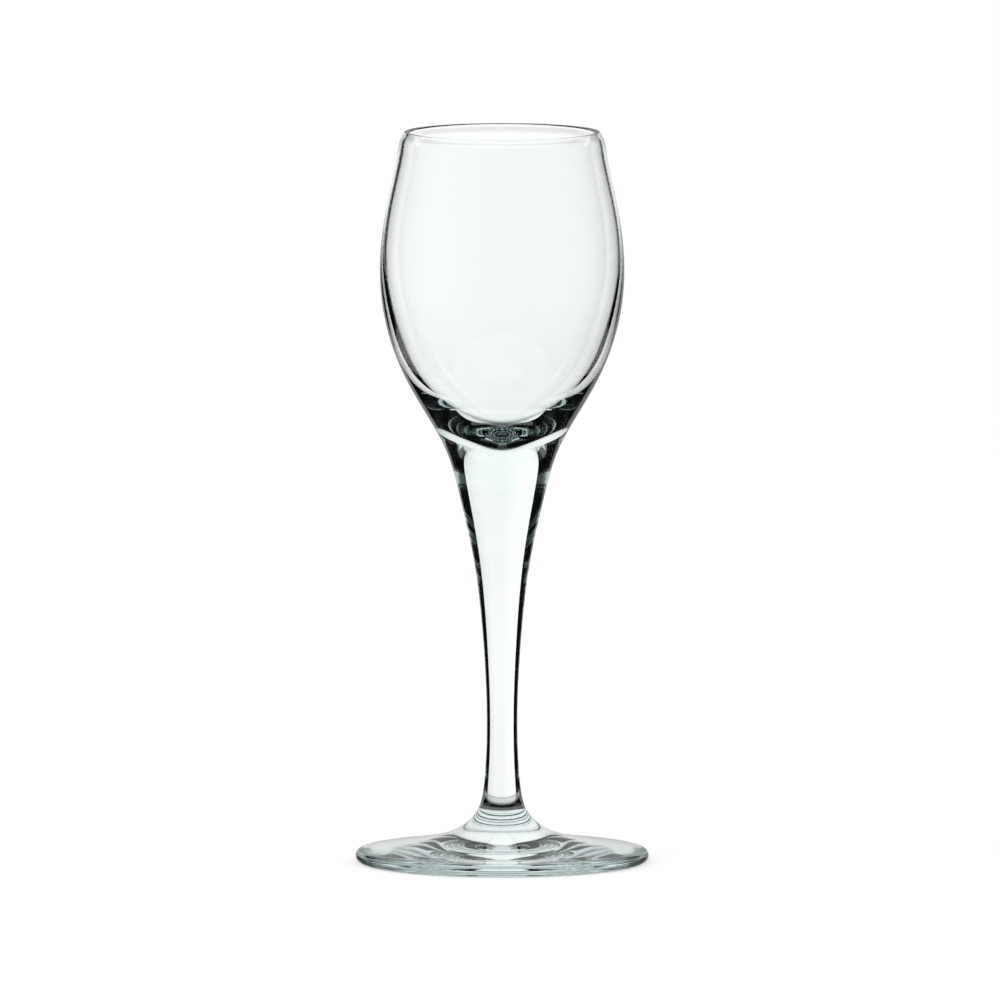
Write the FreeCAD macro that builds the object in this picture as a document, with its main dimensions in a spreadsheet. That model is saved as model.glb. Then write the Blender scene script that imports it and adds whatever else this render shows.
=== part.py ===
"""A liqueur glass, drawn in one piece of clear glass.

A round foot, hollowed a little underneath, rises in a flare to a thin waist. From there
the solid stem widens into a tulip bowl, which is widest below its middle and closes in to
a level lip with rounded edges. One closed section is turned about the Z axis. The glass
stands on Z = 0, with its axis through the origin. All sizes are in millimetres.
"""
import FreeCAD, Part
import math
import os
import Sketcher

# Each row is an alias in the sheet, its value and what it measures.
SIZES = [
    ("total_height", 150.0, "from the table to the top of the lip"),
    ("foot_diameter", 60.0, "over the rounded edge of the foot"),
    ("foot_edge_radius", 1.32, "of the half-round edge, which is twice this thick"),
    ("foot_slope_angle", 5.5, "degrees that the top of the foot falls at its edge"),
    ("resting_ring_width", 1.8, "flat ring under the edge, which touches the table"),
    ("foot_hollow_depth", 1.4, "rise of the underside in the middle"),
    ("foot_top_diameter", 38.0, "on the slope of the foot"),
    ("foot_top_rise", 4.1, "from the table to foot_top_diameter"),
    ("foot_root_diameter", 24.0, "where the foot begins to rise into the stem"),
    ("foot_root_rise", 1.5, "from foot_top_diameter up to foot_root_diameter"),
    ("flare_diameter", 16.5, "of the flare between foot and stem"),
    ("flare_rise", 1.7, "from foot_root_diameter up to flare_diameter"),
    ("ankle_diameter", 10.3, "at the top of the flare"),
    ("ankle_rise", 3.1, "from flare_diameter up to ankle_diameter"),
    ("shin_diameter", 7.35, "just above the flare"),
    ("shin_rise", 5.9, "from ankle_diameter up to shin_diameter"),
    ("waist_diameter", 6.25, "of the stem where it is thinnest"),
    ("waist_rise", 12.7, "from shin_diameter up to waist_diameter"),
    ("stem_middle_diameter", 7.8, "half-way between the waist and the stem's top"),
    ("stem_top_diameter", 11.9, "where the stem begins to open"),
    ("stem_top_drop", 12.0, "from collar_diameter down to stem_top_diameter"),
    ("collar_diameter", 17.2, "of the stem between its top and the neck"),
    ("collar_drop", 9.6, "from neck_diameter down to collar_diameter"),
    ("neck_diameter", 22.9, "under the bowl"),
    ("neck_drop", 7.1, "from base_diameter down to neck_diameter"),
    ("base_diameter", 30.6, "of the bowl where its side is steepest"),
    ("base_drop", 7.1, "from hip_diameter down to base_diameter"),
    ("hip_diameter", 38.8, "of the bowl, half-way from its base to its shoulder"),
    ("hip_drop", 8.7, "from shoulder_diameter down to hip_diameter"),
    ("shoulder_diameter", 45.9, "of the bowl under its widest place"),
    ("shoulder_drop", 14.0, "from belly_diameter down to shoulder_diameter"),
    ("belly_diameter", 50.0, "of the bowl at its widest"),
    ("belly_drop", 14.4, "from upper_diameter down to belly_diameter"),
    ("upper_diameter", 46.7, "of the bowl, half-way from its widest place to the lip"),
    ("upper_drop", 10.5, "from throat_diameter down to upper_diameter"),
    ("throat_diameter", 42.45, "of the bowl under its rim"),
    ("throat_drop", 2.1, "from rim_diameter down to throat_diameter"),
    ("rim_diameter", 41.5, "of the bowl where it turns in to its lip"),
    ("rim_drop", 1.5, "from the top of the lip down to rim_diameter"),
    ("mouth_diameter", 39.0, "along the middle of the lip's flat top"),
    ("lip_flat_width", 0.6, "of the lip's level top, between its rounded edges"),
    ("lip_edge_radius", 0.25, "of the lip's fire-polished edges"),
    ("lip_lean_angle", 30.0, "degrees that the wall leans in at the lip"),
    ("rim_wall", 1.05, "of the bowl at rim_diameter, measured level"),
    ("throat_wall", 1.0, "of the bowl at throat_diameter, measured level"),
    ("upper_wall", 0.95, "of the bowl at upper_diameter, measured level"),
    ("belly_wall", 1.2, "of the bowl at belly_diameter"),
    ("shoulder_wall", 2.15, "of the bowl at shoulder_diameter, measured level"),
    ("hip_wall", 2.95, "of the bowl at hip_diameter, measured level"),
    ("base_wall", 5.25, "of the bowl at base_diameter, measured level"),
    ("well_diameter", 9.8, "of the inside where it turns into its floor"),
    ("well_rise", 1.7, "from the middle of the floor up to well_diameter"),
    ("floor_drop", 5.45, "from base_diameter down to the middle of the inside's floor"),
]

# The named places of the outside, in the order in which each is measured from the last.
FROM_TABLE = ["foot_top", "foot_root", "flare", "ankle", "shin", "waist"]
FROM_LIP = [
    "rim", "throat", "upper", "belly", "shoulder", "hip", "base", "neck", "collar", "stem_top",
]


def height(place):
    """The height of a named place of the outside."""
    if place in FROM_TABLE:
        steps = FROM_TABLE[: FROM_TABLE.index(place) + 1]
        return " + ".join(f"Sizes.{step}_rise" for step in steps)
    steps = FROM_LIP[: FROM_LIP.index(place) + 1]
    return "Sizes.total_height" + "".join(f" - Sizes.{step}_drop" for step in steps)


def outside(place):
    """The radius and height of the outside at a named place."""
    return f"Sizes.{place}_diameter / 2", height(place)


def inside(place):
    """The radius and height of the inside at a named place of the bowl."""
    return f"Sizes.{place}_diameter / 2 - Sizes.{place}_wall", height(place)


FOOT_SLOPE = "tan(Sizes.foot_slope_angle * 1 deg)"
LIP_LEAN = "tan(Sizes.lip_lean_angle * 1 deg)"
FOOT_EDGE_CENTRE = "(Sizes.foot_diameter / 2 - Sizes.foot_edge_radius)"
FOOT_TOP = (
    FOOT_EDGE_CENTRE + " + Sizes.foot_edge_radius * sin(Sizes.foot_slope_angle * 1 deg)",
    "Sizes.foot_edge_radius * (1 + cos(Sizes.foot_slope_angle * 1 deg))",
)
LIP_EDGE_HEIGHT = "Sizes.total_height - Sizes.lip_edge_radius"
OUTER_EDGE_CENTRE = ("(Sizes.mouth_diameter + Sizes.lip_flat_width) / 2", LIP_EDGE_HEIGHT)
INNER_EDGE_CENTRE = ("(Sizes.mouth_diameter - Sizes.lip_flat_width) / 2", LIP_EDGE_HEIGHT)
LIP_OUTER = (
    OUTER_EDGE_CENTRE[0] + " + Sizes.lip_edge_radius * cos(Sizes.lip_lean_angle * 1 deg)",
    OUTER_EDGE_CENTRE[1] + " + Sizes.lip_edge_radius * sin(Sizes.lip_lean_angle * 1 deg)",
)
LIP_INNER = (
    INNER_EDGE_CENTRE[0] + " - Sizes.lip_edge_radius * cos(Sizes.lip_lean_angle * 1 deg)",
    INNER_EDGE_CENTRE[1] + " - Sizes.lip_edge_radius * sin(Sizes.lip_lean_angle * 1 deg)",
)
STEM_MIDDLE = (
    "Sizes.stem_middle_diameter / 2",
    f"({height('waist')} + {height('stem_top')}) / 2",
)
FLOOR = ("0", f"{height('base')} - Sizes.floor_drop")
WELL = ("Sizes.well_diameter / 2", f"{FLOOR[1]} + Sizes.well_rise")

# The places that the outside runs through, from the foot up to the lip.
OUTSIDE = [
    FOOT_TOP,
    *[outside(place) for place in FROM_TABLE],
    STEM_MIDDLE,
    *[outside(place) for place in reversed(FROM_LIP)],
    LIP_OUTER,
]

# The same for the inside, from the lip down to the middle of the floor.
INSIDE = [
    LIP_INNER,
    *[inside(place) for place in FROM_LIP[: FROM_LIP.index("base") + 1]],
    WELL,
    FLOOR,
]

# The sketcher's own numbers for the corners of a curve and for the sketch's axes
START, END, CENTRE = range(1, 4)
Z_AXIS, X_AXIS = range(-2, 0)
ORIGIN = X_AXIS


def make_sheet(doc):
    """Puts the driving sizes into the document's spreadsheet."""
    sheet = doc.addObject("Spreadsheet::Sheet", "Sizes")
    for row, (alias, value, meaning) in enumerate(SIZES, start=1):
        sheet.set(f"A{row}", alias)
        sheet.set(f"B{row}", str(value))
        sheet.set(f"C{row}", meaning)
        sheet.setAlias(f"B{row}", alias)
    doc.recompute()
    return sheet


def origin_feature(body, role):
    """The body's own plane or axis of that role."""
    return next(f for f in body.Origin.OriginFeatures if f.Role == role)


def number(sketch, expression):
    """What an expression comes to with the sheet's present sizes."""
    value = sketch.evalExpression(expression)
    return float(getattr(value, "Value", value))


def point(sketch, place):
    """A place of the section, as a point of its sketch."""
    radius, height = place
    return FreeCAD.Vector(number(sketch, radius), number(sketch, height), 0)


def hold(sketch, name, kind, ends, expression):
    """Adds a named distance between two points, or a radius, and binds it to the sheet."""
    constraint = Sketcher.Constraint(kind, *ends, number(sketch, expression))
    index = sketch.addConstraint(constraint)
    sketch.renameConstraint(index, name)
    sketch.setExpression("Constraints." + name, expression)


def hold_place(sketch, name, geometry, corner, place):
    """Holds a point of the sketch at its radius and height."""
    radius, height = place
    ends = (ORIGIN, START, geometry, corner)
    if radius == "0":
        sketch.addConstraint(Sketcher.Constraint("PointOnObject", geometry, corner, Z_AXIS))
    else:
        hold(sketch, name + "_radius", "DistanceX", ends, radius)
    hold(sketch, name + "_height", "DistanceY", ends, height)


def join(sketch, first, second):
    """Makes two points of the sketch one."""
    sketch.addConstraint(Sketcher.Constraint("Coincident", *first, *second))


def add_arc(sketch, centre, radius, start_angle, end_angle):
    """Adds an arc that runs anticlockwise between two angles in degrees."""
    circle = Part.Circle(centre, FreeCAD.Vector(0, 0, 1), radius)
    arc = Part.ArcOfCircle(circle, math.radians(start_angle), math.radians(end_angle))
    return sketch.addGeometry(arc, False)


def add_curve(sketch, places, first_handle, last_handle):
    """Adds a smooth curve through the places, which leaves its ends along the handles."""
    points = [point(sketch, place) for place in places]
    curve = Part.BSplineCurve()
    curve.interpolate(
        Points=points,
        InitialTangent=point(sketch, first_handle) - points[0],
        FinalTangent=points[-1] - point(sketch, last_handle),
    )
    return sketch.addGeometry(curve, False)


def hold_curve(sketch, name, geometry, places, first_handle, last_handle):
    """Binds a curve's inner places and the two poles beside its ends to the sheet."""
    poles = sketch.Geometry[geometry].NbPoles
    first_pole = sketch.GeometryCount
    sketch.exposeInternalGeometry(geometry)
    first_knot = first_pole + poles
    for index, place in enumerate(places[1:-1], start=1):
        hold_place(sketch, f"{name}_{index}", first_knot + index, START, place)
    hold_place(sketch, name + "_first", first_pole + 1, CENTRE, first_handle)
    hold_place(sketch, name + "_last", first_pole + poles - 2, CENTRE, last_handle)


def draw_section(body):
    """Draws the glass's closed half section, and returns its sketch."""
    sketch = body.newObject("Sketcher::SketchObject", "Section")
    sketch.AttachmentSupport = [(origin_feature(body, "XZ_Plane"), "")]
    sketch.MapMode = "FlatFace"

    # A handle is as far from its end as a third of the way to the next place.
    foot_run = f"(({FOOT_TOP[0]}) - {OUTSIDE[1][0]}) / 3"
    foot_handle = (f"{FOOT_TOP[0]} - {foot_run}", f"{FOOT_TOP[1]} + {foot_run} * {FOOT_SLOPE}")
    outer_run = f"(({LIP_OUTER[1]}) - ({OUTSIDE[-2][1]})) / 3"
    outer_handle = (f"{LIP_OUTER[0]} + {outer_run} * {LIP_LEAN}", f"{LIP_OUTER[1]} - {outer_run}")
    inner_run = f"(({LIP_INNER[1]}) - ({INSIDE[1][1]})) / 3"
    inner_handle = (f"{LIP_INNER[0]} + {inner_run} * {LIP_LEAN}", f"{LIP_INNER[1]} - {inner_run}")
    floor_handle = (f"{WELL[0]} / 3", FLOOR[1])

    foot_slope = number(sketch, "Sizes.foot_slope_angle")
    lip_lean = number(sketch, "Sizes.lip_lean_angle")
    edge_radius = number(sketch, "Sizes.foot_edge_radius")
    edge_centre = FreeCAD.Vector(number(sketch, FOOT_EDGE_CENTRE), edge_radius, 0)
    ring_inner = edge_centre.x - number(sketch, "Sizes.resting_ring_width")
    hollow_depth = number(sketch, "Sizes.foot_hollow_depth")
    hollow_radius = (ring_inner**2 + hollow_depth**2) / (2 * hollow_depth)
    hollow_centre = FreeCAD.Vector(0, hollow_depth - hollow_radius, 0)
    hollow_start = math.degrees(math.acos(ring_inner / hollow_radius))

    wall = add_curve(sketch, OUTSIDE, foot_handle, outer_handle)
    lip_top = number(sketch, "Sizes.total_height")
    lip_radius = number(sketch, "Sizes.lip_edge_radius")
    outer_centre = point(sketch, OUTER_EDGE_CENTRE)
    inner_centre = point(sketch, INNER_EDGE_CENTRE)
    outer_edge = add_arc(sketch, outer_centre, lip_radius, lip_lean, 90)
    lip_points = (
        FreeCAD.Vector(outer_centre.x, lip_top, 0),
        FreeCAD.Vector(inner_centre.x, lip_top, 0),
    )
    lip = sketch.addGeometry(Part.LineSegment(*lip_points), False)
    inner_edge = add_arc(sketch, inner_centre, lip_radius, 90, 180 + lip_lean)
    bowl = add_curve(sketch, INSIDE, inner_handle, floor_handle)
    hollow_top = FreeCAD.Vector(0, hollow_depth, 0)
    axis = sketch.addGeometry(Part.LineSegment(point(sketch, FLOOR), hollow_top), False)
    hollow = add_arc(sketch, hollow_centre, hollow_radius, hollow_start, 90)
    ring_points = (FreeCAD.Vector(ring_inner, 0, 0), FreeCAD.Vector(edge_centre.x, 0, 0))
    ring = sketch.addGeometry(Part.LineSegment(*ring_points), False)
    edge = add_arc(sketch, edge_centre, edge_radius, -90, 90 - foot_slope)

    for first, second in (
        ((wall, START), (edge, END)),
        ((wall, END), (outer_edge, START)),
        ((outer_edge, END), (lip, START)),
        ((lip, END), (inner_edge, START)),
        ((inner_edge, END), (bowl, START)),
        ((bowl, END), (axis, START)),
        ((axis, END), (hollow, END)),
        ((hollow, START), (ring, START)),
        ((ring, END), (edge, START)),
    ):
        join(sketch, first, second)

    # The foot's half-round edge, its flat ring and the hollow underneath
    hold_place(sketch, "edge_centre", edge, CENTRE, (FOOT_EDGE_CENTRE, "Sizes.foot_edge_radius"))
    hold(sketch, "edge_radius", "Radius", (edge,), "Sizes.foot_edge_radius")
    hold(sketch, "foot_top", "DistanceX", (ORIGIN, START, edge, END), FOOT_TOP[0])
    sketch.addConstraint(Sketcher.Constraint("Vertical", edge, START, edge, CENTRE))
    sketch.addConstraint(Sketcher.Constraint("PointOnObject", ring, START, X_AXIS))
    hold(sketch, "ring_width", "DistanceX", (ring, START, ring, END), "Sizes.resting_ring_width")
    sketch.addConstraint(Sketcher.Constraint("PointOnObject", hollow, CENTRE, Z_AXIS))
    hold_place(sketch, "hollow_top", hollow, END, ("0", "Sizes.foot_hollow_depth"))

    # The lip's rounded edges, which its level top runs between
    for name, arc, centre, level_end, wall_end, wall_place in (
        ("outer", outer_edge, OUTER_EDGE_CENTRE, END, START, LIP_OUTER),
        ("inner", inner_edge, INNER_EDGE_CENTRE, START, END, LIP_INNER),
    ):
        hold_place(sketch, f"{name}_centre", arc, CENTRE, centre)
        hold(sketch, f"{name}_edge_radius", "Radius", (arc,), "Sizes.lip_edge_radius")
        hold(sketch, f"{name}_end", "DistanceY", (ORIGIN, START, arc, wall_end), wall_place[1])
        sketch.addConstraint(Sketcher.Constraint("Vertical", arc, level_end, arc, CENTRE))

    # The floor of the bowl, and the two long curves
    hold_place(sketch, "floor", bowl, END, FLOOR)
    hold_curve(sketch, "outside", wall, OUTSIDE, foot_handle, outer_handle)
    hold_curve(sketch, "inside", bowl, INSIDE, inner_handle, floor_handle)
    return sketch


def make_glass(doc):
    """Makes the glass as a body, by turning its section about the upright axis."""
    body = doc.addObject("PartDesign::Body", "LiqueurGlass")
    body.Label = "liqueur_glass"
    body.Placement = FreeCAD.Placement()
    sketch = draw_section(body)
    turn = body.newObject("PartDesign::Revolution", "Turn")
    turn.Profile = sketch
    turn.ReferenceAxis = (sketch, ["V_Axis"])
    turn.Angle = 360
    sketch.Visibility = False
    body.Tip = turn
    return body


def check(doc, bodies):
    """Stops with a plain message if an object failed or a solid isn't sound."""
    for item in doc.Objects:
        if "Invalid" in item.State or "Error" in item.State:
            raise RuntimeError(f"{item.Name} failed: {item.State}")
    for body in bodies:
        shape = body.Shape
        if shape.isNull() or not shape.isValid() or len(shape.Solids) != 1:
            raise RuntimeError(f"{body.Label} isn't one sound solid")


def main():
    doc = FreeCAD.newDocument("LiqueurGlass")
    make_sheet(doc)
    bodies = [make_glass(doc)]
    doc.recompute()
    check(doc, bodies)
    os.makedirs("parts", exist_ok=True)
    for body in bodies:
        body.Shape.exportStep(f"parts/{body.Label}.step")
        box = body.Shape.optimalBoundingBox()
        print(
            f"{body.Label}: {body.Shape.Volume:.0f} mm3,"
            f" {box.XLength:.2f} wide, {box.ZLength:.2f} high"
        )


main()
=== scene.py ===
"""A liqueur glass of clear glass, in a bright-field studio.

The glass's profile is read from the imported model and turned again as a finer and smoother
surface. A lit card behind the glass, with black on both sides, draws its dark outlines.
"""
import math
import bpy
import numpy as np
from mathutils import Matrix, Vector


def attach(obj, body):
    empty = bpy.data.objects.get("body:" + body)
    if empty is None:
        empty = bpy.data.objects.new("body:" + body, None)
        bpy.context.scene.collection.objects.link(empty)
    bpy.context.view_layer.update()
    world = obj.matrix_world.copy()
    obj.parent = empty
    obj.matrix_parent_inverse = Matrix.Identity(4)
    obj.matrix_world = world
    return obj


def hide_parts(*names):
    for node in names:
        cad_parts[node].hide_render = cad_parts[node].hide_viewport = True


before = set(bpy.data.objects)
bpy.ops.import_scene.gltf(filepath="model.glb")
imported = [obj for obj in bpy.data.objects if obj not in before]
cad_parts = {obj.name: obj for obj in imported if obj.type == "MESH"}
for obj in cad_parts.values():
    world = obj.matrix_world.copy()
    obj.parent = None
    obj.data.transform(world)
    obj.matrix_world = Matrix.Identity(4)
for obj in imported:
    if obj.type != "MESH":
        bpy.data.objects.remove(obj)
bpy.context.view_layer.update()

NODE = "liqueur_glass"
BODY = "root"

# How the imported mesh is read: points this near are one, and corners turn at once
SAME_POINT = 0.5e-6
SEAM_CELL = 4 * SAME_POINT
POINT_SPACING = 20 * SAME_POINT
CORNER_ANGLE = math.radians(12)
CORNER_SHARPNESS = 3
BEND_WINDOW = 7

# How it is turned again: rows and segments, and the length that a radian of bend adds
SEGMENTS = 256
ROWS = 300
CURVE_STEPS = 8
NO_LENGTH = 1e-9
BEND_LENGTH = 0.006

# The glass: a clear skin, and a faint green body that tints its thick parts
GLASS_COLOUR = (0.985, 1.0, 0.997, 1)
GLASS_IOR = 1.515
BODY_COLOUR = (0.45, 0.70, 0.68, 1)
BODY_DENSITY = 11.0
GLASS_BOUNCES = 32
MIRROR_BOUNCES = 16

# The photograph's view
IMAGE_WIDTH = 1000
AXIS_COLUMN = 502.1
CAMERA_BACK = 6.078
CAMERA_HEIGHT = 0.695
AIM_HEIGHT = 0.07438
LENS = 1075.5
SENSOR = 36.0
CLIP_NEAR = 0.1
CLIP_FAR = 30.0

# The black room around the glass, open behind it by this angle on each side
ROOM_ANGLE = math.radians(70)
ROOM_RADIUS = 0.25
ROOM_TOP = 0.32
ROOM_PANELS = 40
BLACK_GLOW = 0.004

# Its floor, a pit that the glass sees under the white floor, dimly lit in its back half
PIT_DEPTH = 0.15
PIT_GLOW = 0.13

# Two black flags, with a window between them: their inner edges at the foot and at the top
FLAG_BACK = 0.080
FLAG_LEFT = (-0.060, -0.043)
FLAG_RIGHT = (0.067, 0.050)
FLAG_FOOT = 0.034
FLAG_TOP = 0.20

# The lit card just behind them: its glow at places across it, brighter on the left
CARD_GAP = 0.001
CARD_GLOW = ((-0.026, 1.23), (-0.012, 1.16), (0.0, 1.11), (0.022, 1.13), (0.055, 1.02))
# How much of that glow there is at each height, less below the floor and above the lip
CARD_FADE = (
    (-0.11, 0.40),
    (-0.012, 0.92),
    (0.012, 0.93),
    (0.035, 0.98),
    (0.085, 0.95),
    (0.10, 1.0),
    (0.143, 1.0),
    (0.1465, 0.80),
    (0.17, 0.80),
)
# How much of it is left in the glass's reflections, which are weaker in the photograph
CARD_MIRRORED = 0.45

# The white floor, and the surroundings that light it
FLOOR_SIZE = 8.0
FLOOR_COLOUR = (0.60, 0.60, 0.60, 1)
FLOOR_GLOW = 0.50
SKY_FOR_FLOOR = 0.85
# The surroundings that the glass sees, by the sine of the angle above the horizon
SKY_FOR_GLASS = ((0.005, 0.004), (0.035, 1.1), (0.25, 1.1), (0.70, 0.80), (1.0, 0.70))

# A soft lamp over the glass
LAMP_PLACE = (-0.5, -0.3, 1.1)
LAMP_AIM = (0, 0, 0.05)
LAMP_SIZE = 0.5
LAMP_POWER = 1.0


def profile_chain(mesh):
    """The half section of the node's mesh, as one chain of (radius, height) from the axis on."""
    seam = {}
    for vertex in mesh.vertices:
        if abs(vertex.co.y) < SAME_POINT and vertex.co.x > -SAME_POINT:
            key = (round(vertex.co.x / SEAM_CELL), round(vertex.co.z / SEAM_CELL))
            seam.setdefault(key, []).append(vertex.index)
    owner = {index: key for key, indices in seam.items() for index in indices}
    place = {key: mesh.vertices[indices[0]].co for key, indices in seam.items()}
    beside = {key: set() for key in seam}
    for edge in mesh.edges:
        first, second = (owner.get(index) for index in edge.vertices)
        if first and second and first != second:
            beside[first].add(second)
            beside[second].add(first)
    ends = [key for key in beside if len(beside[key]) == 1]
    key = min(ends, key=lambda end: place[end].z)
    chain, last = [key], None
    while key not in ends or last is None:
        key, last = next(other for other in beside[key] if other != last), key
        chain.append(key)
    return np.array([(max(place[key].x, 0.0), place[key].z) for key in chain])


def profile_points(mesh):
    """Every distinct (radius, height) of the mesh, in order along its chain."""
    chain = profile_chain(mesh)
    co = np.empty(len(mesh.vertices) * 3)
    mesh.vertices.foreach_get("co", co)
    co = co.reshape(-1, 3)
    points = np.column_stack([np.hypot(co[:, 0], co[:, 1]), co[:, 2]])
    starts, steps = chain[:-1], np.diff(chain, axis=0)
    lengths = np.hypot(*steps.T)
    reached = np.concatenate([[0], np.cumsum(lengths)])
    offset = points[:, None, :] - starts[None, :, :]
    share = np.clip((offset * steps).sum(axis=2) / lengths**2, 0, 1)
    gap = np.hypot(*np.moveaxis(offset - share[..., None] * steps, 2, 0))
    nearest = gap.argmin(axis=1)
    rows = np.arange(len(points))
    along = reached[nearest] + share[rows, nearest] * lengths[nearest]
    order = np.argsort(along)
    kept = [order[0]]
    for index in order[1:]:
        if along[index] - along[kept[-1]] > POINT_SPACING:
            kept.append(index)
    return points[kept]


def stretches(points):
    """Splits the profile at its corners, where the direction turns at once."""
    steps = np.diff(points, axis=0)
    heading = np.unwrap(np.arctan2(steps[:, 1], steps[:, 0]))
    lengths = np.hypot(*steps.T)
    turns = np.abs(np.diff(heading))
    bend = turns / (lengths[:-1] + lengths[1:])
    typical = np.convolve(bend, np.ones(BEND_WINDOW) / BEND_WINDOW, mode="same")
    corners = [
        index + 1
        for index in range(len(turns))
        if turns[index] > CORNER_ANGLE and bend[index] > CORNER_SHARPNESS * typical[index]
    ]
    edges = [0, *corners, len(points) - 1]
    return [points[a : b + 1] for a, b in zip(edges[:-1], edges[1:])]


def tangents(points):
    """Unit directions of a curve through the points, from the parabola through each three."""
    steps = np.diff(points, axis=0)
    lengths = np.hypot(*steps.T)[:, None]
    slopes = steps / lengths
    inner = (slopes[:-1] * lengths[1:] + slopes[1:] * lengths[:-1]) / (lengths[:-1] + lengths[1:])
    first = 2 * slopes[0] - inner[0] if len(inner) else slopes[0]
    last = 2 * slopes[-1] - inner[-1] if len(inner) else slopes[-1]
    found = np.vstack([first, inner, last])
    found = found / np.hypot(*found.T)[:, None]
    # A curve that meets the axis is level there
    for end in (0, -1):
        if points[end][0] < SAME_POINT:
            found[end] = (np.sign(found[end][0]), 0)
    return found


def curve_through(points):
    """A smooth curve through the points, with several steps from each to the next."""
    slopes = tangents(points)
    t = np.linspace(0, 1, CURVE_STEPS, endpoint=False)[:, None]
    curve = []
    for a, b, slope_a, slope_b in zip(points[:-1], points[1:], slopes[:-1], slopes[1:]):
        length = np.hypot(*(b - a))
        curve.append(
            (2 * t**3 - 3 * t**2 + 1) * a
            + (t**3 - 2 * t**2 + t) * length * slope_a
            + (3 * t**2 - 2 * t**3) * b
            + (t**3 - t**2) * length * slope_b
        )
    return np.vstack([*curve, points[-1:]])


def smooth_profile(points, rows):
    """The profile through the points with that many rows, closer where it bends."""
    fine = np.vstack([curve_through(stretch) for stretch in stretches(points)])
    lengths = np.hypot(*np.diff(fine, axis=0).T)
    fine = fine[np.concatenate([[True], lengths > NO_LENGTH])]
    steps = np.diff(fine, axis=0)
    lengths = np.hypot(*steps.T)
    heading = np.unwrap(np.arctan2(steps[:, 1], steps[:, 0]))
    turn = np.abs(np.diff(heading, prepend=heading[0]))
    reached = np.concatenate([[0], np.cumsum(lengths + BEND_LENGTH * turn)])
    wanted = np.linspace(0, reached[-1], rows)
    profile = np.column_stack([np.interp(wanted, reached, fine[:, i]) for i in (0, 1)])
    profile[0, 0] = profile[-1, 0] = 0
    profile[:, 1] = np.maximum(profile[:, 1], 0)
    return profile


def turned_mesh(name, profile, segments):
    """A closed smooth surface, which is the profile turned about the Z axis."""
    angles = np.arange(segments) * 2 * math.pi / segments
    ring = np.column_stack([np.cos(angles), np.sin(angles)])
    body = profile[1:-1]
    rings = len(body)
    co = np.empty((rings, segments, 3))
    co[:, :, :2] = body[:, None, :1] * ring[None, :, :]
    co[:, :, 2] = body[:, 1:]
    vertices = np.vstack([co.reshape(-1, 3), [(0, 0, profile[0, 1]), (0, 0, profile[-1, 1])]])
    bottom, top = rings * segments, rings * segments + 1
    faces = []
    for row in range(rings - 1):
        a, b = row * segments, (row + 1) * segments
        for i in range(segments):
            j = (i + 1) % segments
            faces.append((a + i, a + j, b + j, b + i))
    last = (rings - 1) * segments
    for i in range(segments):
        j = (i + 1) % segments
        faces.append((bottom, j, i))
        faces.append((last + i, last + j, top))
    mesh = bpy.data.meshes.new(name)
    mesh.from_pydata(vertices.tolist(), [], faces)
    mesh.polygons.foreach_set("use_smooth", [True] * len(mesh.polygons))
    mesh.update()
    return mesh


def new_object(name, data):
    """Adds an object with that data to the scene."""
    piece = bpy.data.objects.new(name, data)
    bpy.context.scene.collection.objects.link(piece)
    return piece


def aim_at(piece, target):
    """Turns a camera or a lamp to look at a point."""
    direction = Vector(target) - piece.location
    piece.rotation_euler = direction.to_track_quat("-Z", "Y").to_euler()


def new_material(name):
    """An empty node material, with its tree and its output."""
    material = bpy.data.materials.new(name)
    material.use_nodes = True
    tree = material.node_tree
    tree.nodes.clear()
    return material, tree, tree.nodes.new("ShaderNodeOutputMaterial")


def feed(tree, value, socket):
    """Links another node's output to the socket, or sets a plain number on it."""
    if isinstance(value, bpy.types.NodeSocket):
        tree.links.new(value, socket)
    else:
        socket.default_value = value


def combined(tree, operation, first, second):
    """The sum, product or the like of two outputs or numbers."""
    node = tree.nodes.new("ShaderNodeMath")
    node.operation = operation
    feed(tree, first, node.inputs[0])
    feed(tree, second, node.inputs[1])
    return node.outputs[0]


def between(tree, share, start, end):
    """A number that is start where the share is nought, and end where it is one."""
    node = tree.nodes.new("ShaderNodeMapRange")
    feed(tree, share, node.inputs["Value"])
    feed(tree, start, node.inputs["To Min"])
    feed(tree, end, node.inputs["To Max"])
    return node.outputs["Result"]


def stepped(tree, place, steps):
    """A strength that runs straight from each (place, strength) to the next."""
    first, last = steps[0][0], steps[-1][0]
    top = max(strength for _, strength in steps)
    share = tree.nodes.new("ShaderNodeMapRange")
    share.inputs["From Min"].default_value = first
    share.inputs["From Max"].default_value = last
    ramp = tree.nodes.new("ShaderNodeValToRGB")
    marks = ramp.color_ramp.elements
    for index, (at, strength) in enumerate(steps):
        mark = marks[index] if index < len(marks) else marks.new(1.0)
        mark.position = (at - first) / (last - first)
        mark.color = (strength / top, strength / top, strength / top, 1)
    tree.links.new(place, share.inputs["Value"])
    tree.links.new(share.outputs["Result"], ramp.inputs["Fac"])
    return combined(tree, "MULTIPLY", ramp.outputs["Color"], top)


def light_path(tree):
    """What tells the kinds of rays apart."""
    return tree.nodes.new("ShaderNodeLightPath").outputs


def through_glass(tree):
    """One for rays that the glass has bent or mirrored, and nought for all others."""
    path = light_path(tree)
    return combined(tree, "MAXIMUM", path["Is Glossy Ray"], path["Is Transmission Ray"])


def coordinates(tree, kind):
    """The X, Y and Z of a point, in that kind of texture coordinates."""
    where = tree.nodes.new("ShaderNodeTexCoord")
    split = tree.nodes.new("ShaderNodeSeparateXYZ")
    tree.links.new(where.outputs[kind], split.inputs["Vector"])
    return split.outputs


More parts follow.
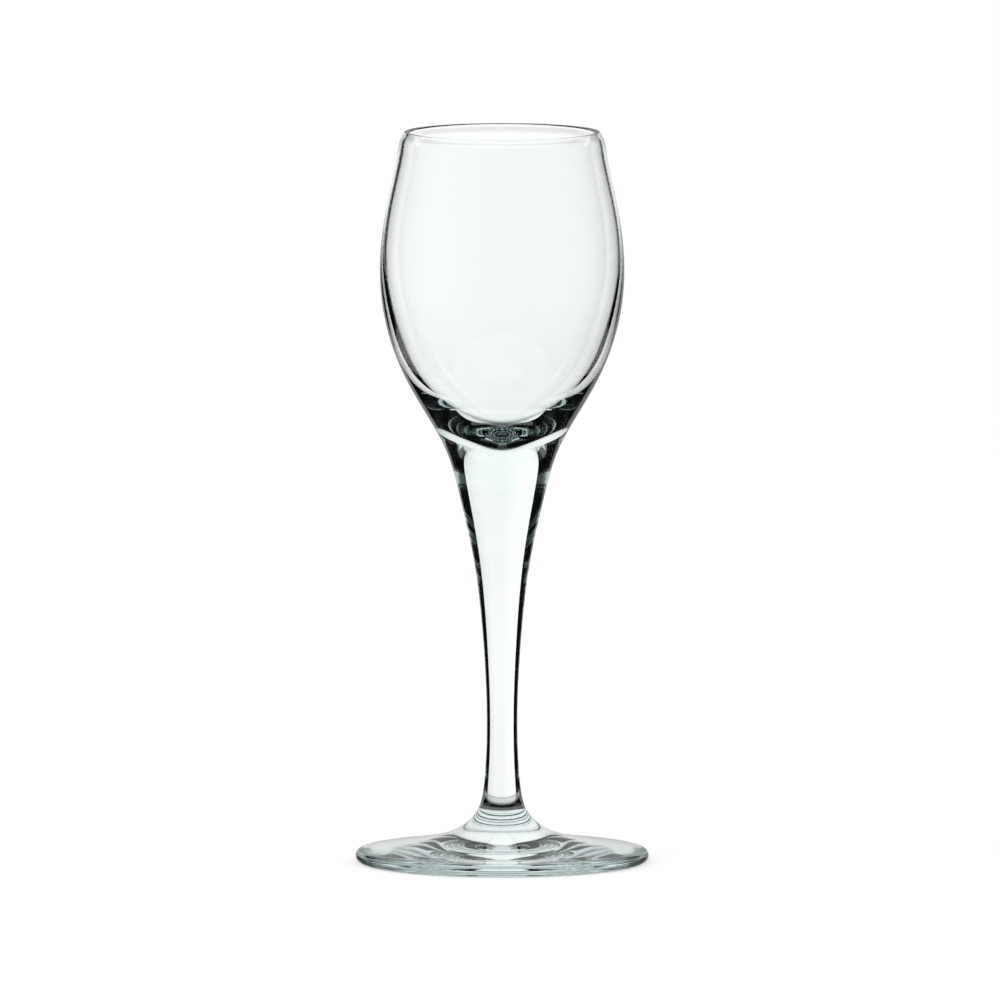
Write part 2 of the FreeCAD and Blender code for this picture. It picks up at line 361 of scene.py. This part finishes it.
def glass_material():
    """Clear smooth glass with a faint green body."""
    material, tree, output = new_material("clear glass")
    skin = tree.nodes.new("ShaderNodeBsdfPrincipled")
    skin.inputs["Base Color"].default_value = GLASS_COLOUR
    skin.inputs["Roughness"].default_value = 0.0
    skin.inputs["IOR"].default_value = GLASS_IOR
    skin.inputs["Transmission Weight"].default_value = 1.0
    tree.links.new(skin.outputs["BSDF"], output.inputs["Surface"])
    body = tree.nodes.new("ShaderNodeVolumeAbsorption")
    body.inputs["Color"].default_value = BODY_COLOUR
    body.inputs["Density"].default_value = BODY_DENSITY
    tree.links.new(body.outputs["Volume"], output.inputs["Volume"])
    return material


def floor_material():
    """A white matte floor that keeps the shadow, and that the glass sees through."""
    material, tree, output = new_material("floor")
    matte = tree.nodes.new("ShaderNodeBsdfDiffuse")
    matte.inputs["Color"].default_value = FLOOR_COLOUR
    glow = tree.nodes.new("ShaderNodeEmission")
    glow.inputs["Strength"].default_value = FLOOR_GLOW
    white = tree.nodes.new("ShaderNodeAddShader")
    clear = tree.nodes.new("ShaderNodeBsdfTransparent")
    choice = tree.nodes.new("ShaderNodeMixShader")
    tree.links.new(matte.outputs["BSDF"], white.inputs[0])
    tree.links.new(glow.outputs["Emission"], white.inputs[1])
    tree.links.new(through_glass(tree), choice.inputs["Fac"])
    tree.links.new(white.outputs["Shader"], choice.inputs[1])
    tree.links.new(clear.outputs["BSDF"], choice.inputs[2])
    tree.links.new(choice.outputs["Shader"], output.inputs["Surface"])
    return material


def glow_material(name):
    """A material that only glows, with its tree and the socket of its strength."""
    material, tree, output = new_material(name)
    glow = tree.nodes.new("ShaderNodeEmission")
    tree.links.new(glow.outputs["Emission"], output.inputs["Surface"])
    return material, tree, glow.inputs["Strength"]


def even_glow(name, strength):
    """A material that glows evenly."""
    material, _, socket = glow_material(name)
    socket.default_value = strength
    return material


def card_material():
    """A glow by the place on the card itself, less of it in the glass's reflections."""
    material, tree, socket = glow_material("card")
    place = coordinates(tree, "Object")
    up = stepped(tree, place["Z"], CARD_FADE)
    across = stepped(tree, place["X"], CARD_GLOW)
    left = between(tree, light_path(tree)["Is Reflection Ray"], 1.0, CARD_MIRRORED)
    glow = combined(tree, "MULTIPLY", left, combined(tree, "MULTIPLY", up, across))
    tree.links.new(glow, socket)
    return material


def make_glass():
    """The glass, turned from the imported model's profile, in place of the plain node."""
    profile = smooth_profile(profile_points(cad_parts[NODE].data), ROWS)
    glass = new_object("glass", turned_mesh("glass", profile, SEGMENTS))
    glass.data.materials.append(glass_material())
    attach(glass, BODY)
    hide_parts(NODE)


def make_world():
    """White where the camera sees it, a little less on the floor, and a sky for the glass."""
    world = bpy.data.worlds.new("studio")
    bpy.context.scene.world = world
    world.use_nodes = True
    tree = world.node_tree
    sky = stepped(tree, coordinates(tree, "Generated")["Z"], SKY_FOR_GLASS)
    unseen = between(tree, through_glass(tree), SKY_FOR_FLOOR, sky)
    strength = between(tree, light_path(tree)["Is Camera Ray"], unseen, 1.0)
    background = tree.nodes["Background"]
    background.inputs["Color"].default_value = (1, 1, 1, 1)
    tree.links.new(strength, background.inputs["Strength"])


def flat_mesh(name, vertices, faces, material):
    """A mesh of flat faces in one material."""
    mesh = bpy.data.meshes.new(name)
    mesh.from_pydata(vertices, [], faces)
    mesh.materials.append(material)
    return mesh


def level_face(x_from, x_to, y_from, y_to, height):
    """The corners of a level rectangle."""
    corners = ((x_from, y_from), (x_to, y_from), (x_to, y_to), (x_from, y_to))
    return [(x, y, height) for x, y in corners]


def make_floor():
    """The floor that the glass stands on."""
    half = FLOOR_SIZE / 2
    corners = level_face(-half, half, -half, half, 0)
    new_object("floor", flat_mesh("floor", corners, [(0, 1, 2, 3)], floor_material()))


def make_screen(name, vertices, faces, material, rig):
    """A screen that only the glass sees."""
    screen = new_object(name, flat_mesh(name, vertices, faces, material))
    screen.parent = rig
    screen.visible_camera = False
    screen.visible_diffuse = False
    screen.visible_shadow = False


def make_upright(name, foot, top, heights, material, rig):
    """A screen that stands between a line at one height and a line at another."""
    count = len(foot)
    vertices = [(x, y, z) for line, z in zip((foot, top), heights) for x, y in line]
    faces = [(i, i + 1, count + i + 1, count + i) for i in range(count - 1)]
    make_screen(name, vertices, faces, material, rig)


def make_rig(camera):
    """Carries the screens, and turns upright so that the card stays across from the camera."""
    rig = new_object("rig", None)
    track = rig.constraints.new("LOCKED_TRACK")
    track.target = camera
    track.track_axis = "TRACK_NEGATIVE_Y"
    track.lock_axis = "LOCK_Z"
    return rig


def make_studio(rig):
    """The black room, the flags that leave a window narrower at the top, the card and the pit."""
    black, dim = even_glow("flag", BLACK_GLOW), even_glow("pit", PIT_GLOW)
    angles = np.linspace(ROOM_ANGLE, 2 * math.pi - ROOM_ANGLE, ROOM_PANELS + 1)
    room = [(ROOM_RADIUS * math.sin(a), ROOM_RADIUS * math.cos(a)) for a in angles]
    left = [(x, FLAG_BACK) for x in FLAG_LEFT]
    right = [(x, FLAG_BACK) for x in FLAG_RIGHT]
    behind = [(x, FLAG_BACK + CARD_GAP) for x in (FLAG_LEFT[0], FLAG_RIGHT[0])]
    room_heights = (-PIT_DEPTH, ROOM_TOP)
    flag_heights = (FLAG_FOOT, FLAG_TOP)
    card_heights = (CARD_FADE[0][0], CARD_FADE[-1][0])
    make_upright("room", room, room, room_heights, black, rig)
    make_upright("flag_left", [room[-1], left[0]], [room[-1], left[1]], flag_heights, black, rig)
    make_upright("flag_right", [right[0], room[0]], [right[1], room[0]], flag_heights, black, rig)
    make_upright("card", behind, behind, card_heights, card_material(), rig)
    far = ROOM_RADIUS
    for name, near, end, finish in (("pit_front", -far, 0, black), ("pit", 0, far, dim)):
        corners = level_face(-far, far, near, end, -PIT_DEPTH)
        make_screen(name, corners, [(0, 1, 2, 3)], finish, rig)


def make_camera():
    """The camera at the photograph's viewing angle."""
    data = bpy.data.cameras.new("camera")
    data.lens = LENS
    data.sensor_width = SENSOR
    data.shift_x = (IMAGE_WIDTH / 2 - AXIS_COLUMN) / IMAGE_WIDTH
    data.clip_start, data.clip_end = CLIP_NEAR, CLIP_FAR
    camera = new_object("camera", data)
    camera.location = (0, -CAMERA_BACK, CAMERA_HEIGHT)
    aim_at(camera, (0, 0, AIM_HEIGHT))
    bpy.context.scene.camera = camera
    return camera


def make_lamp():
    """A soft lamp over the glass, which lights the floor and isn't seen in the glass."""
    data = bpy.data.lights.new("softbox", "AREA")
    data.shape = "RECTANGLE"
    data.size, data.size_y = LAMP_SIZE, LAMP_SIZE
    data.energy = LAMP_POWER
    lamp = new_object("softbox", data)
    lamp.location = LAMP_PLACE
    aim_at(lamp, LAMP_AIM)
    lamp.visible_camera = False
    lamp.visible_glossy = False
    lamp.visible_transmission = False


def main():
    scene = bpy.context.scene
    scene.view_settings.view_transform = "Standard"
    scene.cycles.max_bounces = GLASS_BOUNCES
    scene.cycles.transmission_bounces = GLASS_BOUNCES
    scene.cycles.glossy_bounces = MIRROR_BOUNCES
    camera = make_camera()
    make_world()
    make_floor()
    make_glass()
    make_studio(make_rig(camera))
    make_lamp()


main()
